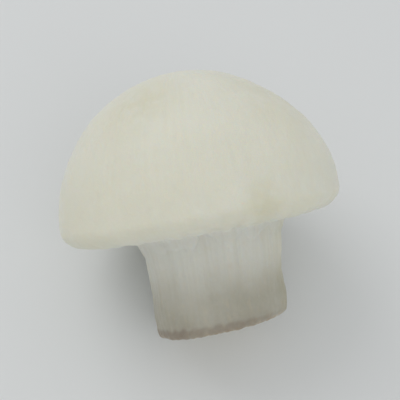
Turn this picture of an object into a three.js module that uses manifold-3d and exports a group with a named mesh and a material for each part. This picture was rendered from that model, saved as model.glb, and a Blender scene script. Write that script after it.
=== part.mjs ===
// A closed-cup white button mushroom lying on its side. Cap, rolled margin, veil and cut stem grew as one
// body. Millimetres, +Z up. The cap's top points to +Y and up, the cut foot to -Y and down.
// It rests on two small flats at z = 0, one under the cap's margin and one on the low edge of the foot.
import * as THREE from 'three';
import { mergeVertices } from 'three/addons/utils/BufferGeometryUtils.js';
import Module from 'manifold-3d';

const wasm = await Module();
wasm.setup();
const { clamp, lerp, smoothstep } = THREE.MathUtils;

// Cap. Heights run along the mushroom's own axis and are counted from the cap's widest ring.
const CAP_RADIUS = 29.5;
const CAP_FLATTENING = 0.97;
const DOME_HEIGHT = 29.5;

// Rolled margin: its lowest ridge, and the inner foot of the roll where the veil starts. The roundings say
// how far out from each of the two the roll's curve is drawn before it turns.
const MARGIN_DROP = 4.0;
const MARGIN_RIDGE_RADIUS = 24.2;
const MARGIN_INNER_RADIUS = 21.4;
const OUTER_ROUNDING = 3.2;
const INNER_ROUNDING = 0.5;

// Veil, stretched from the margin to the skirt that clings to the stem.
const VEIL_DROP = 2.2;
const SKIRT_DROP = 3.6;
const SKIRT_RADIUS = 17.6;
const SKIRT_FLARE = 0.5;
const SKIRT_SAG = 0.6;
const VEIL_FOLDS = 12;
const VEIL_FOLD_DEPTH = 0.35;

// Stem, from under the skirt to the knife-cut foot. It narrows to its waist over the taper's length, and
// leaves the foot's edge straight for the length of the straight.
const STEM_TOP_DROP = 8.3;
const STEM_TOP_RADIUS = 14.4;
const STEM_WAIST_RADIUS = 13.8;
const STEM_TAPER = 5.0;
const STEM_STRAIGHT = 3.9;
const FOOT_DROP = 24.8;
const FOOT_RADIUS = 13.7;
const FOOT_EDGE = 1.3;
const FOOT_DISH = 0.4;
const FOOT_SLANT = 0.045;
const STEM_OFFSET = 0.9;
const STEM_BEND = -0.8;

// How deep the two resting spots are pressed flat, and the search for the tilt at which both touch.
const REST_PRESS = 0.45;
const STEEPEST_TILT = Math.PI / 3;
const TILT_STEPS = 40;

// Flat strips round the axis, eight to each fold of the veil.
const SEGMENTS = 8 * VEIL_FOLDS;

// Points closer together than this are one corner.
const CORNER_GAP = 1e-4;

// Slow waves round the axis: how many, how strong against the radius, and where the first crest lies.
const CAP_WAVES = [
  { count: 2, strength: 0.010, crest: 1.3 },
  { count: 3, strength: 0.009, crest: 0.4 },
  { count: 5, strength: 0.004, crest: 2.1 },
];
const STEM_WAVES = [
  { count: 3, strength: 0.016, crest: 0.9 },
  { count: 7, strength: 0.010, crest: 0.2 },
  { count: 11, strength: 0.007, crest: 1.7 },
];

// Broad shallow hollows, where the growing cap was pressed by its neighbours. Each faces a way out from
// the cap's centre, which is the origin. Spreads are in radians.
const CAP_HOLLOWS = [
  { towards: new THREE.Vector3(0.56, 0.81, 0.19), spread: 0.42, depth: 0.85 },
  { towards: new THREE.Vector3(-0.72, 0.3, 0.62), spread: 0.3, depth: 0.45 },
  { towards: new THREE.Vector3(-0.2, 0.6, -0.75), spread: 0.36, depth: 0.6 },
  { towards: new THREE.Vector3(0.15, 0.35, 0.92), spread: 0.22, depth: 0.3 },
];

// The half outline from the middle of the foot, up the stem and round the margin, to the top of the dome.
function halfOutline() {
  const at = (radius, height) => new THREE.Vector2(radius, height);
  const foot = new THREE.QuadraticBezierCurve(
    at(0, FOOT_DISH - FOOT_DROP),
    at(FOOT_RADIUS / 2, FOOT_DISH - FOOT_DROP),
    at(FOOT_RADIUS - FOOT_EDGE, -FOOT_DROP),
  );
  const footEdge = new THREE.QuadraticBezierCurve(
    at(FOOT_RADIUS - FOOT_EDGE, -FOOT_DROP),
    at(FOOT_RADIUS, -FOOT_DROP),
    at(FOOT_RADIUS, FOOT_EDGE - FOOT_DROP),
  );
  const stem = new THREE.CubicBezierCurve(
    at(FOOT_RADIUS, FOOT_EDGE - FOOT_DROP),
    at(FOOT_RADIUS, FOOT_EDGE - FOOT_DROP + STEM_STRAIGHT),
    at(STEM_WAIST_RADIUS, -STEM_TOP_DROP - STEM_TAPER),
    at(STEM_TOP_RADIUS, -STEM_TOP_DROP),
  );
  const skirt = new THREE.QuadraticBezierCurve(
    at(STEM_TOP_RADIUS, -STEM_TOP_DROP),
    at(STEM_TOP_RADIUS + SKIRT_FLARE, -SKIRT_DROP - SKIRT_SAG),
    at(SKIRT_RADIUS, -SKIRT_DROP),
  );
  const veil = new THREE.QuadraticBezierCurve(
    at(SKIRT_RADIUS, -SKIRT_DROP),
    at((SKIRT_RADIUS + MARGIN_INNER_RADIUS) / 2, -VEIL_DROP),
    at(MARGIN_INNER_RADIUS, -VEIL_DROP),
  );
  const innerRoll = new THREE.QuadraticBezierCurve(
    at(MARGIN_INNER_RADIUS, -VEIL_DROP),
    at(MARGIN_INNER_RADIUS + INNER_ROUNDING, -MARGIN_DROP),
    at(MARGIN_RIDGE_RADIUS, -MARGIN_DROP),
  );
  const outerRoll = new THREE.CubicBezierCurve(
    at(MARGIN_RIDGE_RADIUS, -MARGIN_DROP),
    at(MARGIN_RIDGE_RADIUS + OUTER_ROUNDING, -MARGIN_DROP),
    at(CAP_RADIUS, -MARGIN_DROP / 2),
    at(CAP_RADIUS, 0),
  );
  const dome = new THREE.EllipseCurve(0, 0, CAP_RADIUS, DOME_HEIGHT, 0, Math.PI / 2);

  const stretches = [
    { curve: foot, rows: 4 },
    { curve: footEdge, rows: 3 },
    { curve: stem, rows: 8 },
    { curve: skirt, rows: 4 },
    { curve: veil, rows: 5 },
    { curve: innerRoll, rows: 3 },
    { curve: outerRoll, rows: 7 },
    { curve: dome, rows: 16 },
  ];
  const points = stretches.flatMap(({ curve, rows }) => curve.getSpacedPoints(rows).slice(0, -1));
  points.push(at(0, DOME_HEIGHT));
  points[0].x = 0;
  return points;
}

// Sum of slow waves at an angle round the axis.
function waveSum(waves, angle) {
  return waves.reduce((sum, wave) => sum + wave.strength * Math.cos(wave.count * (angle - wave.crest)), 0);
}

// Carries one point of the turned form to the grown one. At the axis every wave has died away.
function grow(point) {
  const height = point.y;
  const radius = Math.hypot(point.x, point.z);
  const angle = Math.atan2(point.x, point.z);
  const capShare = height > 0
    ? (radius / CAP_RADIUS) ** 2
    : smoothstep(radius, SKIRT_RADIUS, MARGIN_INNER_RADIUS);
  const stemShare = height > 0 ? 0 : 1 - smoothstep(radius, STEM_TOP_RADIUS, SKIRT_RADIUS);
  const footShare = smoothstep(-height, SKIRT_DROP, FOOT_DROP);

  // The cap's waves and oval, and the stem's low ridges, which fade towards the middle of the foot.
  const stemFade = Math.min(1, (radius / STEM_WAIST_RADIUS) ** 2);
  const swell = 1 + capShare * waveSum(CAP_WAVES, angle) + stemShare * stemFade * waveSum(STEM_WAVES, angle);
  point.x *= swell;
  point.z *= swell * lerp(1, CAP_FLATTENING, capShare);

  // Radial folds in the veil.
  const veilPlace = clamp((radius - SKIRT_RADIUS) / (MARGIN_INNER_RADIUS - SKIRT_RADIUS), 0, 1);
  if (height < 0) {
    point.y += VEIL_FOLD_DEPTH * Math.sin(Math.PI * veilPlace) * Math.cos(VEIL_FOLDS * angle);
  }

  // Hollows in the dome, pressed in towards the cap's centre. They fade out over the margin.
  const domeShare = smoothstep(height, -MARGIN_DROP / 2, 0);
  const outward = point.clone().normalize();
  for (const hollow of CAP_HOLLOWS) {
    const away = outward.angleTo(hollow.towards) / hollow.spread;
    point.addScaledVector(outward, -hollow.depth * domeShare * Math.exp(-away * away));
  }

  // The stem stands off the cap's centre and bends back towards it, and its foot is cut a little aslant.
  const rootShare = height > 0 ? 0 : 1 - smoothstep(radius, STEM_TOP_RADIUS, MARGIN_INNER_RADIUS);
  point.x += STEM_OFFSET * rootShare + STEM_BEND * footShare;
  point.y += FOOT_SLANT * footShare * point.x;
}

// Joins shared corners and drops the triangles that a turned form pinches to nothing at its two poles.
function closeUp(geometry) {
  geometry.deleteAttribute('normal');
  geometry.deleteAttribute('uv');
  const merged = mergeVertices(geometry, CORNER_GAP);
  const corners = Array.from(merged.index.array);
  const kept = [];
  for (let i = 0; i < corners.length; i += 3) {
    const [a, b, c] = corners.slice(i, i + 3);
    if (a !== b && b !== c && c !== a) {
      kept.push(a, b, c);
    }
  }
  merged.setIndex(kept);
  return merged;
}

// The whole mushroom standing on its axis, with the cap's top towards +Y.
function grownBody() {
  const body = closeUp(new THREE.LatheGeometry(halfOutline(), SEGMENTS));
  const positions = body.attributes.position;
  const point = new THREE.Vector3();
  for (let i = 0; i < positions.count; i += 1) {
    point.fromBufferAttribute(positions, i);
    grow(point);
    positions.setXYZ(i, point.x, point.y, point.z);
  }
  return body;
}

// Lowest height of the cap, which ends at the stem's top, and of the foot when the axis is tipped.
function lowPoints(body, tilt) {
  const positions = body.attributes.position;
  let cap = Infinity;
  let foot = Infinity;
  for (let i = 0; i < positions.count; i += 1) {
    const height = positions.getY(i);
    const level = height * Math.sin(tilt) + positions.getZ(i) * Math.cos(tilt);
    if (height > -STEM_TOP_DROP) {
      cap = Math.min(cap, level);
    } else {
      foot = Math.min(foot, level);
    }
  }
  return { cap, foot };
}

// The tilt at which the cap and the foot touch the same surface, found by halving.
function restTilt(body) {
  let low = 0;
  let high = STEEPEST_TILT;
  for (let step = 0; step < TILT_STEPS; step += 1) {
    const middle = (low + high) / 2;
    const { cap, foot } = lowPoints(body, middle);
    if (foot > cap) {
      low = middle;
    } else {
      high = middle;
    }
  }
  return (low + high) / 2;
}

function toSolid(closedGeometry) {
  const mesh = new wasm.Mesh({
    numProp: 3,
    vertProperties: new Float32Array(closedGeometry.attributes.position.array),
    triVerts: new Uint32Array(closedGeometry.index.array),
  });
  return new wasm.Manifold(mesh);
}

function toGeometry(solid) {
  const mesh = solid.getMesh();
  const geometry = new THREE.BufferGeometry();
  geometry.setAttribute('position', new THREE.BufferAttribute(mesh.vertProperties, 3));
  geometry.setIndex(new THREE.BufferAttribute(mesh.triVerts, 1));
  geometry.computeVertexNormals();
  return geometry;
}

// Lays the body down on its cap and foot, and presses both spots flat on the surface.
function laidDown(body) {
  const tilt = restTilt(body);
  body.rotateX(tilt);
  body.computeBoundingBox();
  const { min, max } = body.boundingBox;
  body.translate(-(min.x + max.x) / 2, -(min.y + max.y) / 2, -min.z - REST_PRESS);
  const groundWidth = 4 * CAP_RADIUS;
  const groundDepth = CAP_RADIUS;
  const ground = new THREE.BoxGeometry(groundWidth, groundWidth, groundDepth);
  ground.translate(0, 0, -groundDepth / 2);
  return toGeometry(toSolid(body).subtract(toSolid(closeUp(ground))));
}

const flesh = new THREE.MeshStandardMaterial({ color: 0xded9c8, roughness: 0.6, metalness: 0 });
const mushroom = new THREE.Mesh(laidDown(grownBody()), flesh);
mushroom.name = 'mushroom';

const part = new THREE.Group();
part.add(mushroom);

export default part;
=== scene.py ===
import math

import bpy
import numpy as np
from mathutils import Matrix, Vector


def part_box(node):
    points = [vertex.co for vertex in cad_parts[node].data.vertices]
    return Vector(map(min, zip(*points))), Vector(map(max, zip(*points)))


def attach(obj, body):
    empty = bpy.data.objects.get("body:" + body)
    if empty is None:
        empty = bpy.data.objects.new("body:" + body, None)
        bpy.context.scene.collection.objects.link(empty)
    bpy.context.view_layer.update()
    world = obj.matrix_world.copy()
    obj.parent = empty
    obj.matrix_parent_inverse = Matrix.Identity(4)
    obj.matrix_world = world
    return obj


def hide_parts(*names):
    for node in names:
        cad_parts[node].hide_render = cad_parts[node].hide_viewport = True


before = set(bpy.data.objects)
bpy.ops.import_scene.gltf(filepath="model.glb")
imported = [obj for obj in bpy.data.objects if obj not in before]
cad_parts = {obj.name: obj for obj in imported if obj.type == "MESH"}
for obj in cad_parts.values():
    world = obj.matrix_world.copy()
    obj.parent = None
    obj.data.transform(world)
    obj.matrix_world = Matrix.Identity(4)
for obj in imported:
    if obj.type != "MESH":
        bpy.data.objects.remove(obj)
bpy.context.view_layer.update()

scene = bpy.context.scene

# ----------------------------------------------------------------------------------------------------
# Camera. It looks down on the mushroom from above and a little to the left of its cut foot. It stands
# 19 cm away, so close that the foot looks larger than it would from afar.
# ----------------------------------------------------------------------------------------------------
VIEW_AZIMUTH = math.radians(-17.3)
VIEW_ELEVATION = math.radians(57.6)
VIEW_ROLL = math.radians(4.4)
VIEW_DISTANCE = 0.193
VIEW_SPAN = 0.084        # how wide a strip is seen at that distance
NEAREST_SHOWN = 0.01
SENSOR_WIDTH = 36        # in millimetres, as the camera takes it

low_corner, high_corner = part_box("mushroom")
middle = (low_corner + high_corner) / 2
towards_camera = Vector((
    math.sin(VIEW_AZIMUTH) * math.cos(VIEW_ELEVATION),
    -math.cos(VIEW_AZIMUTH) * math.cos(VIEW_ELEVATION),
    math.sin(VIEW_ELEVATION),
))
camera_data = bpy.data.cameras.new("camera")
camera_data.sensor_width = SENSOR_WIDTH
camera_data.lens = SENSOR_WIDTH * VIEW_DISTANCE / VIEW_SPAN
camera_data.clip_start = NEAREST_SHOWN
camera = bpy.data.objects.new("camera", camera_data)
camera.location = middle + towards_camera * VIEW_DISTANCE
aim = (-towards_camera).to_track_quat("-Z", "Y").to_matrix()
camera.rotation_euler = (aim @ Matrix.Rotation(VIEW_ROLL, 3, "Z")).to_euler()
scene.collection.objects.link(camera)
scene.camera = camera

# ----------------------------------------------------------------------------------------------------
# Mushroom. Cap, rolled margin, veil and stem grew as one body of firm white flesh, with a thin dry
# skin on the cap. It was lifted from its bed with a twist, and the foot was cut flat with a knife.
# Sizes are in millimetres, and heights run along its own axis from the cap's widest ring.
# ----------------------------------------------------------------------------------------------------
MILLIMETRE = 0.001

CAP_RADIUS = 29.5
CAP_FLATTENING = 0.97
DOME_HEIGHT = 29.5
MARGIN_DROP = 4.0
MARGIN_RIDGE_RADIUS = 24.2
MARGIN_INNER_RADIUS = 21.4
OUTER_ROUNDING = 3.2
INNER_ROUNDING = 0.5
VEIL_DROP = 2.2
VEIL_FOLDS = 12
VEIL_FOLD_DEPTH = 0.35
SKIRT_DROP = 3.6
SKIRT_RADIUS = 17.6
SKIRT_FLARE = 0.5
SKIRT_SAG = 0.6
STEM_TOP_DROP = 8.3
STEM_TOP_RADIUS = 14.4
STEM_WAIST_RADIUS = 13.8
STEM_TAPER = 5.0
STEM_STRAIGHT = 3.9
STEM_OFFSET = 0.9
STEM_BEND = -0.8
FOOT_DROP = 24.8
FOOT_RADIUS = 13.7
FOOT_EDGE = 1.3
FOOT_DISH = 0.4
FOOT_SLANT = 0.045
REST_TILT = math.radians(32.18)        # where the margin and the foot touch a level surface together
REST_PRESS = 0.45

# Slow waves round the axis: how many, how strong against the radius, and where the first crest lies.
CAP_WAVES = [(2, 0.010, 1.3), (3, 0.009, 0.4), (5, 0.004, 2.1)]
STEM_WAVES = [(3, 0.016, 0.9), (7, 0.010, 0.2), (11, 0.007, 1.7)]

# Shallow hollows in the dome: the way they lie from the cap's centre, their spread in radians and
# their depth.
CAP_HOLLOWS = [
    ((0.56, 0.81, 0.19), 0.42, 0.85),
    ((-0.72, 0.30, 0.62), 0.30, 0.45),
    ((-0.20, 0.60, -0.75), 0.36, 0.60),
    ((0.15, 0.35, 0.92), 0.22, 0.30),
]


def smooth_step(low, high, value):
    """0 below low, 1 above high, and 3t^2 - 2t^3 between them."""
    t = np.clip((value - low) / (high - low), 0.0, 1.0)
    return t * t * (3.0 - 2.0 * t)


def bell_about(outward, towards, spread):
    """1 on the point that lies the way of towards from the cap's centre, and exp(-a^2) elsewhere, where a
    is the angle between the two ways over the spread."""
    middle_way = np.array(towards) / np.linalg.norm(towards)
    away = np.arccos(np.clip(outward @ middle_way, -1.0, 1.0)) / spread
    return np.exp(-away ** 2)


def bezier(*corners, samples=300):
    """Points of a Bezier curve: neighbouring corners are blended again and again until one is left."""
    t = np.linspace(0.0, 1.0, samples)[:, None]
    rows = [np.array(corner, float)[None, :] for corner in corners]
    while len(rows) > 1:
        rows = [before * (1.0 - t) + after * t for before, after in zip(rows, rows[1:])]
    return rows[0]


def evenly(curve, steps):
    """The same curve with steps + 1 points, the same length of curve between each two."""
    run = np.r_[0.0, np.cumsum(np.hypot(*np.diff(curve, axis=0).T))]
    marks_and_painted_light = np.linspace(0.0, run[-1], steps + 1)
    return np.stack([np.interp(marks_and_painted_light, run, curve[:, 0]), np.interp(marks_and_painted_light, run, curve[:, 1])], axis=1)


def half_outline():
    """(radius, height) from the middle of the foot to the top of the dome, and each row's place: the
    number of its stretch plus how far along it lies. From 0 to 1 lies the cut face, then by whole
    numbers the foot's edge, the stem, the skirt, the veil, the inner and the outer roll of the margin,
    and from 7 to 8 the dome."""
    foot_middle = (0, FOOT_DISH - FOOT_DROP)
    cut_rim = (FOOT_RADIUS - FOOT_EDGE, -FOOT_DROP)
    stem_foot = (FOOT_RADIUS, FOOT_EDGE - FOOT_DROP)
    stem_top = (STEM_TOP_RADIUS, -STEM_TOP_DROP)
    skirt_edge = (SKIRT_RADIUS, -SKIRT_DROP)
    veil_edge = (MARGIN_INNER_RADIUS, -VEIL_DROP)
    margin_ridge = (MARGIN_RIDGE_RADIUS, -MARGIN_DROP)
    widest_ring = (CAP_RADIUS, 0)
    quarter = np.linspace(0.0, math.pi / 2, 600)
    dome = np.stack([CAP_RADIUS * np.cos(quarter), DOME_HEIGHT * np.sin(quarter)], axis=1)
    # Each stretch: how many rows of points it has, and its curve.
    stretches = [
        (26, bezier(foot_middle, (FOOT_RADIUS / 2, FOOT_DISH - FOOT_DROP), cut_rim)),
        (10, bezier(cut_rim, (FOOT_RADIUS, -FOOT_DROP), stem_foot)),
        (38, bezier(stem_foot, (FOOT_RADIUS, FOOT_EDGE - FOOT_DROP + STEM_STRAIGHT),
                    (STEM_WAIST_RADIUS, -STEM_TOP_DROP - STEM_TAPER), stem_top)),
        (22, bezier(stem_top, (STEM_TOP_RADIUS + SKIRT_FLARE, -SKIRT_DROP - SKIRT_SAG), skirt_edge)),
        (22, bezier(skirt_edge, ((SKIRT_RADIUS + MARGIN_INNER_RADIUS) / 2, -VEIL_DROP), veil_edge)),
        (20, bezier(veil_edge, (MARGIN_INNER_RADIUS + INNER_ROUNDING, -MARGIN_DROP), margin_ridge)),
        (26, bezier(margin_ridge, (MARGIN_RIDGE_RADIUS + OUTER_ROUNDING, -MARGIN_DROP),
                    (CAP_RADIUS, -MARGIN_DROP / 2), widest_ring)),
        (74, dome),
    ]
    points, places = [], []
    for number, (steps, curve) in enumerate(stretches):
        points.append(evenly(curve, steps)[:-1])
        places.append(number + np.arange(steps) / steps)
    points.append(np.array([[0.0, DOME_HEIGHT]]))
    places.append(np.array([float(len(stretches))]))
    outline = np.concatenate(points)
    return outline[:, :1], outline[:, 1:], np.concatenate(places)[:, None]


def wave_sum(waves, angle):
    """Sum of cosines round the axis, each with its own count, strength and crest."""
    return sum(strength * np.cos(count * (angle - crest)) for count, strength, crest in waves)


def grown_form(radius, height, angle):
    """The outline turned round the Y axis. The cap swells by its waves and is flattened one way, the
    stem by its own, the veil is folded by a cosine, and each hollow sinks the dome by a bell curve of
    the angle from its middle. The stem is set off centre by a smooth step of the radius, and bends and
    has its foot slanted by a smooth step of the height."""
    below = height <= 0
    cap_share = np.where(below, smooth_step(SKIRT_RADIUS, MARGIN_INNER_RADIUS, radius),
                         (radius / CAP_RADIUS) ** 2)
    stem_share = np.where(below, 1 - smooth_step(STEM_TOP_RADIUS, SKIRT_RADIUS, radius), 0.0)
    stem_share = stem_share * np.minimum(1.0, (radius / STEM_WAIST_RADIUS) ** 2)
    foot_share = smooth_step(SKIRT_DROP, FOOT_DROP, -height)
    swell = 1 + cap_share * wave_sum(CAP_WAVES, angle) + stem_share * wave_sum(STEM_WAVES, angle)
    across = radius * np.sin(angle) * swell
    upward = radius * np.cos(angle) * swell * (1 + (CAP_FLATTENING - 1) * cap_share)
    veil_place = np.clip((radius - SKIRT_RADIUS) / (MARGIN_INNER_RADIUS - SKIRT_RADIUS), 0.0, 1.0)
    fold = VEIL_FOLD_DEPTH * np.sin(np.pi * veil_place) * np.cos(VEIL_FOLDS * angle)
    form = np.stack([across, height + np.where(below, fold, 0.0), upward], axis=-1)

    dome_share = smooth_step(-MARGIN_DROP / 2, 0.0, height)
    outward = form / np.linalg.norm(form, axis=-1, keepdims=True)
    for towards, spread, depth in CAP_HOLLOWS:
        form = form - outward * (depth * dome_share * bell_about(outward, towards, spread))[..., None]

    root_share = np.where(below, 1 - smooth_step(STEM_TOP_RADIUS, MARGIN_INNER_RADIUS, radius), 0.0)
    form[..., 0] += STEM_OFFSET * root_share + STEM_BEND * foot_share
    form[..., 1] += FOOT_SLANT * foot_share * form[..., 0]
    return form


def outward_normals(form):
    """Cross product of the step round the axis and the step along the outline, made unit length."""
    around = np.roll(form, -1, axis=1) - np.roll(form, 1, axis=1)
    along = np.gradient(form, axis=0)
    normals = np.cross(around, along)
    smallest_length = 1e-9        # the first and last row shrink to a point, where the product is 0
    normals /= np.maximum(np.linalg.norm(normals, axis=-1, keepdims=True), smallest_length)
    normals[0] = (0.0, -1.0, 0.0)
    normals[-1] = (0.0, 1.0, 0.0)
    return normals


def cloud(points, size, seed, waves=30, shortest=0.7, longest=1.6):
    """Smooth unevenness about size across, mostly between -2 and 2: a sum of plane waves that run in
    scattered directions, with lengths from shortest to longest times size."""
    draw = np.random.default_rng(seed)
    ways = draw.normal(size=(waves, 3))
    ways /= np.linalg.norm(ways, axis=1, keepdims=True)
    pitches = 2 * np.pi / (size * draw.uniform(shortest, longest, waves))
    starts = draw.uniform(0, 2 * np.pi, waves)
    total = np.zeros(points.shape[:-1])
    for way, pitch, start in zip(ways, pitches, starts):
        total += np.cos(pitch * (points @ way) + start)
    return total * math.sqrt(2.0 / waves)


def streaks(angle, run, fewest, most, seed, waves=26, drift_spread=0.22):
    """Ridges that run along the outline: a sum of cosines round the axis, each with a whole count
    from fewest to most and a start that drifts slowly along the run."""
    draw = np.random.default_rng(seed)
    counts = draw.integers(fewest, most + 1, waves)
    drifts = draw.normal(0.0, drift_spread, waves)
    starts = draw.uniform(0, 2 * np.pi, waves)
    total = np.zeros(np.broadcast_shapes(angle.shape, run.shape))
    for count, drift, start in zip(counts, drifts, starts):
        total += np.cos(count * angle + drift * run + start)
    return total * math.sqrt(2.0 / waves)


COLUMNS = 400
radius, height, place = half_outline()
angle = np.linspace(0.0, 2 * np.pi, COLUMNS, endpoint=False)[None, :]
form = grown_form(radius, height, angle)
run = np.r_[0.0, np.cumsum(np.hypot(np.diff(radius[:, 0]), np.diff(height[:, 0])))][:, None]


def within(first, last, blur):
    """1 on the rows placed from first to last on the outline, blurred at both ends."""
    started = smooth_step(first - blur, first + blur, place)
    ended = smooth_step(last - blur, last + blur, place)
    return started * (1 - ended)


on_cut = within(first=-1.0, last=1.5, blur=0.25)
on_stem = within(first=1.4, last=3.5, blur=0.4)
on_veil = within(first=3.7, last=5.25, blur=0.2)
on_cap = within(first=5.4, last=9.0, blur=0.25)

# Lines that run to the axis fade inside this radius, where they would crowd.
CROWDED_RADIUS = 9.0
off_axis = np.minimum(1.0, (radius / CROWDED_RADIUS) ** 2)


def ragged_sheet(edge_place, raggedness, half_edge, faded_out, **ridges):
    """1 on a thin sheet, 0 off it. It begins at an edge that wanders about its place on the outline by
    a sum of cosines round the axis, and fades out again between the two places of faded_out."""
    edge = edge_place + raggedness * streaks(angle, 0 * run, **ridges)
    return smooth_step(edge - half_edge, edge + half_edge, place) * (1 - smooth_step(*faded_out, place))


# Slow unevenness of the cap, and slow dents in the stem.
CAP_UNEVENNESS = 0.09
STEM_DENTS = 0.12
swell = on_cap * CAP_UNEVENNESS * cloud(form, size=11.0, seed=1)
swell = swell + on_stem * STEM_DENTS * cloud(form, size=9.0, seed=11)

# Skin of the cap: a matt grain, and silky fibres that fade out at the top.
SKIN_GRAIN = 0.022
SKIN_FIBRES = 0.016
relief = on_cap * SKIN_GRAIN * cloud(form, size=2.4, seed=2)
skin_fibres = streaks(angle, run, fewest=60, most=120, seed=3, drift_spread=0.11)
relief += on_cap * off_axis * SKIN_FIBRES * skin_fibres

# Margin: small puckers where the skin rolls under, and the ragged hem where it overhangs the veil.
PUCKERS = 0.10
HEM_THICKNESS = 0.30
pucker = within(first=5.2, last=6.5, blur=0.5)
relief += pucker * PUCKERS * streaks(angle, run, fewest=18, most=52, seed=4)
hem = ragged_sheet(5.30, raggedness=0.07, half_edge=0.06, faded_out=(5.5, 6.2), fewest=9, most=46, seed=5)
relief += HEM_THICKNESS * hem

# Veil: fine pleats between the folds, and a cottony nap.
VEIL_PLEATS = 0.10
VEIL_NAP = 0.05
pleats = streaks(angle, run, fewest=44, most=84, seed=6)
relief += on_veil * (VEIL_PLEATS * pleats + VEIL_NAP * cloud(form, size=1.3, seed=7))

# Skirt: the veil's lower edge clings to the stem as a thin ragged sheet.
SKIRT_THICKNESS = 0.28
skirt = ragged_sheet(3.35, raggedness=0.16, half_edge=0.08, faded_out=(3.8, 4.3), fewest=3, most=24, seed=8)
relief += SKIRT_THICKNESS * skirt

# Stem: lengthwise fibres and a little nap.
STEM_FIBRES = 0.028
STEM_NAP = 0.02
stem_fibres = streaks(angle, run, fewest=18, most=60, seed=9)
relief += on_stem * (STEM_FIBRES * stem_fibres + STEM_NAP * cloud(form, size=1.4, seed=10))

# Foot: the marks of the knife, drawn along Z and so close together only in X, and the cut's slightly
# torn rim, torn more in some patches than in others.
DRAG_DEPTH = 0.035
DRAG_CLOSENESS = np.array([1.0, 0.1, 0.08])
TORN_DEPTH = 0.075
TORN_EVERYWHERE = 0.55
TORN_IN_PATCHES = 0.25
drag_marks = cloud(form * DRAG_CLOSENESS, size=1.1, seed=12)
relief += on_cut * off_axis * DRAG_DEPTH * drag_marks
torn = streaks(angle, 0 * run, fewest=4, most=48, seed=13)
torn *= TORN_EVERYWHERE + TORN_IN_PATCHES * streaks(angle, 0 * run, fewest=1, most=6, seed=15)
relief += within(first=0.85, last=1.6, blur=0.25) * TORN_DEPTH * torn

form = form + outward_normals(form) * (swell + relief)[..., None]


def laid_down(form):
    """The form turned about X by the rest tilt, set on the surface, and pressed flat where it rests:
    each height below the surface becomes 0. Each axis is eased so that the box is the plain solid's."""
    cosine, sine = math.cos(REST_TILT), math.sin(REST_TILT)
    turned = np.stack([
        form[..., 0],
        form[..., 1] * cosine - form[..., 2] * sine,
        form[..., 1] * sine + form[..., 2] * cosine,
    ], axis=-1)
    lowest, highest = turned.min(axis=(0, 1)), turned.max(axis=(0, 1))
    solid_low = np.array(low_corner) / MILLIMETRE - (0.0, 0.0, REST_PRESS)
    solid_high = np.array(high_corner) / MILLIMETRE
    ease = (solid_high - solid_low) / (highest - lowest)
    resting = solid_low + (turned - lowest) * ease
    resting[..., 2] = np.maximum(resting[..., 2], 0.0)
    return resting


def closed_surface(name, rings, first_pole, last_pole):
    """A mesh of one point, rings of points joined by quads, and one more point. Faces look outwards
    where the rings run from the first pole to the last and turn from +Z towards +X."""
    count, columns = rings.shape[:2]
    points = np.vstack([rings.reshape(-1, 3), first_pole, last_pole])
    here = np.arange(count * columns).reshape(count, columns)
    beside = np.roll(here, -1, axis=1)
    quads = np.stack([here[:-1], beside[:-1], beside[1:], here[1:]], axis=-1).reshape(-1, 4)
    start, end = count * columns, count * columns + 1
    first_fan = np.stack([beside[0], here[0], np.full(columns, start)], axis=-1)
    last_fan = np.stack([here[-1], beside[-1], np.full(columns, end)], axis=-1)
    mesh = bpy.data.meshes.new(name)
    mesh.from_pydata(points.tolist(), [], quads.tolist() + first_fan.tolist() + last_fan.tolist())
    mesh.shade_smooth()
    return bpy.data.objects.new(name, mesh)


def store(piece, name, kind, values):
    """Keeps one value or vector for each point of the piece: the rings, then the two poles."""
    rings, poles = values[1:-1], values[[0, -1]].mean(axis=1)
    width = rings.shape[2:]
    flat = np.concatenate([rings.reshape((-1,) + width), poles])
    attribute = piece.data.attributes.new(name, kind, "POINT")
    field = "vector" if kind == "FLOAT_VECTOR" else "value"
    attribute.data.foreach_set(field, flat.astype(np.float32).ravel())


resting = laid_down(form) * MILLIMETRE
mushroom = closed_surface("mushroom_body", resting[1:-1], resting[0].mean(axis=0), resting[-1].mean(axis=0))
scene.collection.objects.link(mushroom)

# Coordinates for the fibres' colours and finest relief: wide round the axis and slow along the outline,
# so that an even noise in them is drawn out lengthwise.
GRAIN_AROUND = 40
GRAIN_ALONG = 0.12
wide = np.ones_like(angle)
long = np.ones_like(run)
grain = np.stack([
    GRAIN_AROUND * np.sin(angle) * long,
    GRAIN_AROUND * np.cos(angle) * long,
    GRAIN_ALONG * run * wide,
], axis=-1)
store(mushroom, "grain", "FLOAT_VECTOR", grain)
store(mushroom, "parts", "FLOAT_VECTOR", np.stack([on_cap * wide, on_veil * wide, on_cut * wide], axis=-1))
store(mushroom, "from_axis", "FLOAT", radius / CAP_RADIUS * wide)

# Places on the cap that are tinged yellow: most were pressed or rubbed and have begun to yellow, one is a
# painted reflection and one is painted shade. For each: the way it lies from the cap's centre, its spread
# in radians and its strength.
CAP_MARKS_AND_PAINTED_LIGHT = [
    ((-0.36, 0.77, 0.52), 0.27, 0.42),
    # painted reflection: a warm glow on the upper side of the dome
    ((0.55, 0.70, 0.45), 0.45, 0.30),
    # painted shade: the corner where the front of the margin meets the stem
    ((0.25, -0.03, 0.97), 0.16, 0.60),
    ((0.70, 0.55, -0.30), 0.20, 0.50),
    ((-0.85, 0.10, -0.40), 0.15, 0.50),
    ((0.10, 0.75, -0.62), 0.24, 0.45),
]
outward = form / np.linalg.norm(form, axis=-1, keepdims=True)
marks_and_painted_light = np.zeros(form.shape[:-1])
for towards, spread, strength in CAP_MARKS_AND_PAINTED_LIGHT:
    marks_and_painted_light = np.maximum(marks_and_painted_light, strength * bell_about(outward, towards, spread))
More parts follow.
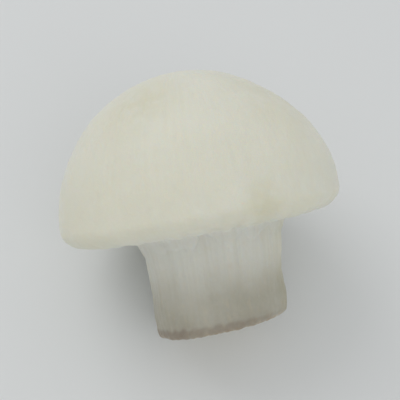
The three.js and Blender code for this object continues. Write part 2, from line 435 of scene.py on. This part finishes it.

# The rolled margin is darkened faintly with painted shade where it turns under, and one side of the stem is
# darkened lengthwise with yellowish painted shade.
MARGIN_PAINTED_SHADE = 0.22
SHADED_STEM_SIDE = math.radians(84)
SHADED_STEM_SPREAD = math.radians(30)
STEM_PAINTED_SHADE_STRENGTH = 0.7
marks_and_painted_light = np.maximum(marks_and_painted_light, MARGIN_PAINTED_SHADE * within(first=6.1, last=7.1, blur=0.5)) * on_cap
stem_side_painted_shade = np.exp(-((angle - SHADED_STEM_SIDE) / SHADED_STEM_SPREAD) ** 2) * (1 - on_cap)
store(mushroom, "marks_and_painted_light", "FLOAT", marks_and_painted_light + STEM_PAINTED_SHADE_STRENGTH * stem_side_painted_shade)

# The knife-cut edge dries and browns first, in a ragged band round the foot. On one side the band is made
# wider and darker as painted shade, the dark gap at the foot's end. A fainter tinge fades out above it, and
# on the cut face the band fades out inwards from the rim. Widths in millimetres.
FOOT_PAINTED_SHADE_SIDE = math.radians(-60)
DRIED_WIDTH = 1.4
PAINTED_SHADE_WIDENING = 0.7
DRIED_RAGGEDNESS = 0.16
BAND_HALF_EDGE = 0.4
BAND_STRENGTH = 0.7
TINGE_WIDTH = 3.0
TINGE_STRENGTH = 0.3
FADE_ON_FACE = 2.4
FULL_AT_RIM = 0.4
DRIED_ALL_ROUND = 0.65
PAINTED_SHADE_ONE_SIDED = 0.35
foot_painted_shade_side = np.cos(angle - FOOT_PAINTED_SHADE_SIDE)
ragged_line = streaks(angle, 0 * run, fewest=3, most=40, seed=14)
dried_width = DRIED_WIDTH + PAINTED_SHADE_WIDENING * foot_painted_shade_side + DRIED_RAGGEDNESS * ragged_line
above_cut = height + FOOT_DROP
band = smooth_step(dried_width - BAND_HALF_EDGE, dried_width + BAND_HALF_EDGE, above_cut)
tinge = smooth_step(dried_width, dried_width + TINGE_WIDTH, above_cut)
browning_and_painted_shade = BAND_STRENGTH * (1 - band)
browning_and_painted_shade += TINGE_STRENGTH * (1 - tinge)
browning_and_painted_shade *= smooth_step(FOOT_RADIUS - FADE_ON_FACE - dried_width, FOOT_RADIUS - FULL_AT_RIM, radius)
browning_and_painted_shade *= DRIED_ALL_ROUND + PAINTED_SHADE_ONE_SIDED * foot_painted_shade_side
store(mushroom, "foot_browning_and_painted_shade", "FLOAT", browning_and_painted_shade)

# Grooves are darkened with painted shade and a little peat dust, less so on the cap. From this depth on a
# groove is as dark as it gets.
DARKEST_GROOVE = 0.22
LESS_GROOVE_SHADE_ON_CAP = 0.6
groove = smooth_step(0.0, DARKEST_GROOVE, -relief)
store(mushroom, "groove", "FLOAT", groove * (1 - LESS_GROOVE_SHADE_ON_CAP * on_cap))

# How far down the stem a point lies, from 0 at its top to 1 at this height above the cut and below it,
# where the stem is greyest. Its darkening towards the foot is partly the stem's own greying and partly
# painted shade.
GREYEST_ABOVE_CUT = 4
towards_foot = smooth_step(STEM_TOP_DROP, FOOT_DROP - GREYEST_ABOVE_CUT, -height)
store(mushroom, "towards_foot", "FLOAT", towards_foot * wide)


def flesh_material():
    """Ivory skin with cream clouds, faint silky fibres and a few yellowed places where it was pressed, plus
    a painted reflection and painted shade on the cap, a whiter veil, a fibrous stem that darkens towards
    the foot, partly its own greying and partly painted shade, with painted shade down one side, and a cream
    cut face whose edge is browned and darkened on one side with painted shade."""
    material = bpy.data.materials.new("mushroom_flesh")
    material.use_nodes = True
    tree = material.node_tree
    shader = tree.nodes["Principled BSDF"]

    def add(kind, inputs=None, **settings):
        node = tree.nodes.new(kind)
        for setting, value in settings.items():
            setattr(node, setting, value)
        for socket, value in (inputs or {}).items():
            if isinstance(value, bpy.types.NodeSocket):
                tree.links.new(value, node.inputs[socket])
            else:
                node.inputs[socket].default_value = value
        return node

    def attribute(name, output="Fac"):
        return add("ShaderNodeAttribute", attribute_name=name).outputs[output]

    def noise(vector, scale, detail=3.0, roughness=0.55, distortion=0.0):
        return add("ShaderNodeTexNoise",
                   {"Vector": vector, "Scale": scale, "Detail": detail, "Roughness": roughness,
                    "Distortion": distortion}).outputs["Fac"]

    def spread_out(value, low, high, least=0.0, most=1.0):
        return add("ShaderNodeMapRange",
                   {"Value": value, "From Min": low, "From Max": high, "To Min": least, "To Max": most},
                   interpolation_type="SMOOTHSTEP").outputs["Result"]

    def maths(operation, first, second):
        return add("ShaderNodeMath", {0: first, 1: second}, operation=operation).outputs["Value"]

    def mix(factor, below, above, blend="MIX"):
        node = add("ShaderNodeMix", {0: factor, 6: below, 7: above}, data_type="RGBA", blend_type=blend)
        return node.outputs[2]

    place_on_body = add("ShaderNodeTexCoord").outputs["Object"]
    grain = attribute("grain", "Vector")
    parts = add("ShaderNodeSeparateXYZ", {0: attribute("parts", "Vector")})
    on_cap, on_veil, on_cut = parts.outputs["X"], parts.outputs["Y"], parts.outputs["Z"]
    from_axis = attribute("from_axis")

    ivory = (0.765, 0.765, 0.668, 1)
    cream = (0.75, 0.735, 0.61, 1)
    chalk = (0.785, 0.785, 0.715, 1)
    stem_white = (0.70, 0.70, 0.635, 1)
    stem_shade = (0.62, 0.61, 0.53, 1)
    # The next four colours carry painted light as well as the flesh's own colour: the foot's grey is partly
    # painted shade, the dark brown of the foot's edge is partly painted shade, the straw is partly painted
    # reflection and shade on the cap, and the yellowish tint is painted shade down one side of the stem.
    stem_foot = (0.405, 0.387, 0.312, 1)
    browned_edge_and_painted_shade = (0.25, 0.207, 0.16, 1)
    straw_and_painted_light = (0.63, 0.60, 0.41, 1)
    painted_shade_tint = (0.945, 0.925, 0.72, 1)
    cut_cream = (0.73, 0.70, 0.60, 1)
    browned = (0.46, 0.36, 0.22, 1)
    tan = (0.64, 0.56, 0.41, 1)

    # Cap skin.
    clouds = noise(place_on_body, scale=38.0, detail=2.0, roughness=0.45)
    fibres = noise(grain, scale=1.0, detail=4.0, roughness=0.6)
    flecks = noise(place_on_body, scale=900.0, detail=2.0)
    cap = mix(spread_out(clouds, low=0.34, high=0.70, most=0.8), ivory, cream)
    fibre_share = maths("MULTIPLY", spread_out(fibres, low=0.48, high=0.70, most=0.30), from_axis)
    cap = mix(fibre_share, cap, cream)
    cap = mix(spread_out(flecks, low=0.60, high=0.74, most=0.22), cap, chalk)
    # Yellowish places on the cap: pressed bruises, plus a painted reflection, painted shade in front above
    # the stem and painted shade on the rolled margin.
    mark_clouds = spread_out(noise(place_on_body, scale=220.0, detail=4.0), low=0.2, high=0.6)
    mark_and_painted_light_share = maths("MULTIPLY", attribute("marks_and_painted_light"), mark_clouds)
    cap = mix(mark_and_painted_light_share, cap, straw_and_painted_light)

    # Veil and stem.
    veil_fibres = noise(grain, scale=1.6, detail=3.0)
    veil = mix(spread_out(veil_fibres, low=0.40, high=0.66, most=0.5), chalk, cream)
    stem_clouds = noise(place_on_body, scale=110.0, detail=5.0, roughness=0.6)
    stem_fibres = noise(grain, scale=0.28, detail=5.0, roughness=0.6, distortion=0.4)
    stem = mix(spread_out(stem_fibres, low=0.40, high=0.72, most=0.45), stem_white, stem_shade)
    stem = mix(spread_out(stem_clouds, low=0.45, high=0.75, most=0.20), stem, tan)
    # Lighter at the top and darker towards the foot: partly the stem's own colour, partly painted light and
    # shade.
    foot_clouds = spread_out(stem_clouds, low=0.3, high=0.7, least=0.75)
    foot_share = maths("MULTIPLY", attribute("towards_foot"), foot_clouds)
    stem = mix(foot_share, stem, stem_foot)
    # Painted shade: one side of the stem is darkened and yellowed along its length.
    stem = mix(mark_and_painted_light_share, stem, painted_shade_tint, "MULTIPLY")

    # Cut face of the foot.
    pith = noise(place_on_body, scale=420.0, detail=5.0, roughness=0.65)
    cut = mix(spread_out(pith, low=0.42, high=0.66, most=0.5), cut_cream, tan)
    cut = mix(spread_out(stem_clouds, low=0.4, high=0.7, most=0.35), cut, tan)
    rim = spread_out(from_axis, low=0.26, high=0.455, most=0.85)
    rim_clouds = spread_out(noise(place_on_body, scale=300.0, detail=4.0), low=0.3, high=0.65)
    cut = mix(maths("MULTIPLY", rim, rim_clouds), cut, browned)

    # All of it together, then the foot's browned edge with its painted shade, and the grooves' painted
    # shade.
    colour = mix(on_cap, stem, cap)
    colour = mix(on_veil, colour, veil)
    colour = mix(on_cut, colour, cut)
    # The foot's browned edge, with its painted shade on one side.
    dried_clouds = spread_out(stem_clouds, low=0.35, high=0.65, least=0.6, most=0.9)
    browning_and_shade_share = maths("MULTIPLY", attribute("foot_browning_and_painted_shade"), dried_clouds)
    colour = mix(browning_and_shade_share, colour, browned_edge_and_painted_shade)
    # Painted shade and a little peat dust in the grooves.
    groove_strength = 0.5
    colour = mix(maths("MULTIPLY", attribute("groove"), groove_strength), colour, tan)
    tree.links.new(colour, shader.inputs["Base Color"])

    # How dull the surface is: it changes in patches all over, and it is duller off the cap.
    off_cap = maths("SUBTRACT", 1.0, on_cap)
    duller_off_cap = 0.12
    patches = noise(place_on_body, scale=180.0, detail=3.0)
    dryness = spread_out(patches, low=0.3, high=0.7, least=0.48, most=0.62)
    dryness = maths("ADD", dryness, maths("MULTIPLY", off_cap, duller_off_cap))
    tree.links.new(dryness, shader.inputs["Roughness"])

    # The finest relief: fibres and grain on the cap, at half strength, and rougher ones elsewhere.
    cap_strength = 0.5
    cap_fibres = maths("MULTIPLY", maths("MULTIPLY", fibres, from_axis), cap_strength)
    cap_grain = maths("MULTIPLY", noise(place_on_body, scale=1500.0, detail=3.0), cap_strength)
    cap_bumps = maths("ADD", cap_fibres, cap_grain)
    rough_fibres = noise(grain, scale=0.9, detail=5.0, roughness=0.65, distortion=0.4)
    rough_bumps = maths("ADD", rough_fibres, noise(place_on_body, scale=1100.0, detail=4.0))
    bumps = maths("ADD", maths("MULTIPLY", cap_bumps, on_cap), maths("MULTIPLY", off_cap, rough_bumps))
    bump = add("ShaderNodeBump", {"Strength": 0.45, "Distance": 0.00035, "Height": bumps})
    tree.links.new(bump.outputs["Normal"], shader.inputs["Normal"])

    shader.inputs["Subsurface Weight"].default_value = 0.30
    shader.inputs["Subsurface Radius"].default_value = (1.0, 0.72, 0.45)
    shader.inputs["Subsurface Scale"].default_value = 0.0035
    shader.inputs["Specular IOR Level"].default_value = 0.42
    shader.inputs["Sheen Weight"].default_value = 0.12
    shader.inputs["Sheen Roughness"].default_value = 0.45
    return material


mushroom.data.materials.append(flesh_material())
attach(mushroom, "root")
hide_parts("mushroom")

# ----------------------------------------------------------------------------------------------------
# Floor. A plain pale table top, a board that is faced with matt laminate. It is far wider than a real
# one, so that its far edge shows only in views from a few degrees above its level.
# ----------------------------------------------------------------------------------------------------
FLOOR_HALF_WIDTH = 6.0
FLOOR_GREY = (0.74, 0.755, 0.755, 1)
FLOOR_ROUGHNESS = 0.8

floor_mesh = bpy.data.meshes.new("floor")
floor_mesh.from_pydata(
    [(x * FLOOR_HALF_WIDTH, y * FLOOR_HALF_WIDTH, 0) for x, y in ((-1, -1), (1, -1), (1, 1), (-1, 1))],
    [], [(0, 1, 2, 3)],
)
floor = bpy.data.objects.new("floor", floor_mesh)
scene.collection.objects.link(floor)
floor_material = bpy.data.materials.new("pale_floor")
floor_material.use_nodes = True
floor_shader = floor_material.node_tree.nodes["Principled BSDF"]
floor_shader.inputs["Base Color"].default_value = FLOOR_GREY
floor_shader.inputs["Roughness"].default_value = FLOOR_ROUGHNESS
floor_mesh.materials.append(floor_material)

# ----------------------------------------------------------------------------------------------------
# Light. Two large soft panels, the stronger above and behind the cap and the weaker in front of it,
# and a pale room. Places and widths are in metres, powers in watts.
# ----------------------------------------------------------------------------------------------------
ROOM_COLOUR = (0.95, 0.96, 0.97, 1)
ROOM_STRENGTH = 0.68


def soft_panel(name, place, width, power, colour):
    """A square panel light of that width that faces the mushroom's middle."""
    data = bpy.data.lights.new(name, "AREA")
    data.size = width
    data.energy = power
    data.color = colour
    panel = bpy.data.objects.new(name, data)
    panel.location = place
    panel.rotation_euler = (Vector(place) - middle).to_track_quat("Z", "Y").to_euler()
    scene.collection.objects.link(panel)


soft_panel("key_panel", place=(-0.30, 0.40, 0.62), width=0.55, power=1.2, colour=(1.0, 0.99, 0.965))
soft_panel("front_panel", place=(0.15, -0.60, 0.52), width=0.60, power=0.66, colour=(0.985, 0.99, 1.0))

room = bpy.data.worlds.new("pale_room")
room.use_nodes = True
room.node_tree.nodes["Background"].inputs["Color"].default_value = ROOM_COLOUR
room.node_tree.nodes["Background"].inputs["Strength"].default_value = ROOM_STRENGTH
scene.world = room
scene.view_settings.view_transform = "Standard"
